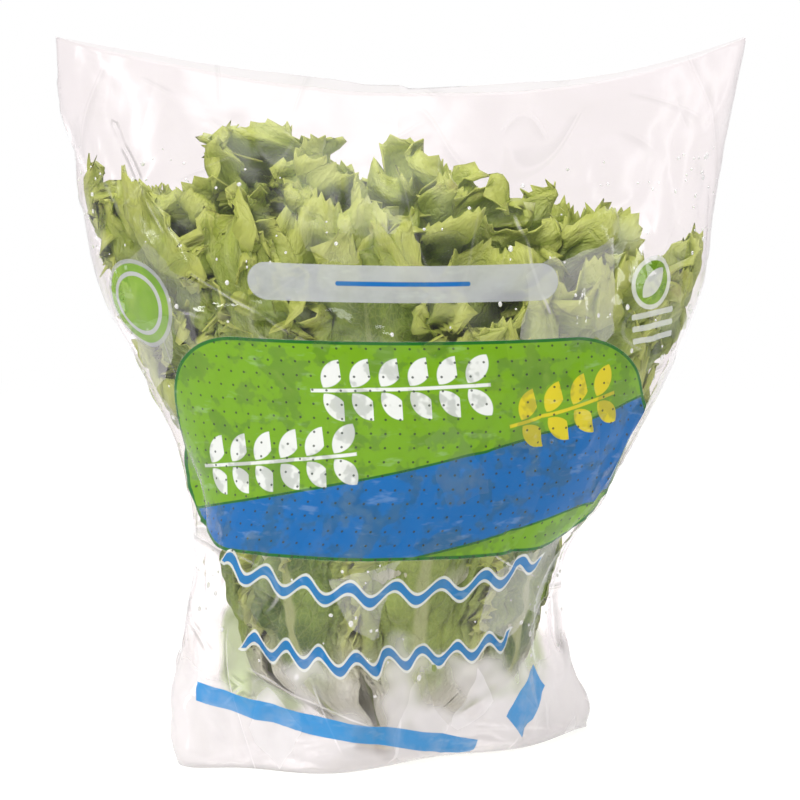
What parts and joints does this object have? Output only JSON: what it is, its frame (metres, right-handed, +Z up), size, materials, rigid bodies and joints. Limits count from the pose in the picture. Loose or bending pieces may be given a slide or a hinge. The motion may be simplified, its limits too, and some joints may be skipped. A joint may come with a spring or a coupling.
{
  "type": "escarole head in a clear film sleeve",
  "caption": "Head of frilly toothed escarole standing in a clear open-topped film sleeve, narrow at the foot and wide at the rim.",
  "frame": {"origin": "centre of the object's box, on the surface that the sleeve stands on", "axes": "+Z up from the stem to the leaf tips, -Y towards the sleeve's printed front, +X to the right of someone who faces that front"},
  "size_m": [0.32, 0.165, 0.3321],
  "materials": {
    "leaf_outer": "waxy green leaf, satin",
    "leaf_heart": "waxy yellow-green leaf, satin",
    "stem": "cream cut stem, matte",
    "film": "clear glossy film"
  },
  "bodies": {
    "root": {"cut_stem": "stem", "heart_leaves": "leaf_heart", "outer_leaf_1": "leaf_outer", "outer_leaf_2": "leaf_outer", "outer_leaf_3": "leaf_outer", "outer_leaf_4": "leaf_outer", "outer_leaf_5": "leaf_outer", "outer_leaf_6": "leaf_outer", "outer_leaf_7": "leaf_outer", "middle_leaf_1": "leaf_outer", "middle_leaf_2": "leaf_outer", "middle_leaf_3": "leaf_outer", "middle_leaf_4": "leaf_outer", "middle_leaf_5": "leaf_outer", "middle_leaf_6": "leaf_outer", "middle_leaf_7": "leaf_outer", "film_sleeve": "film"}
  },
  "joints": []
}
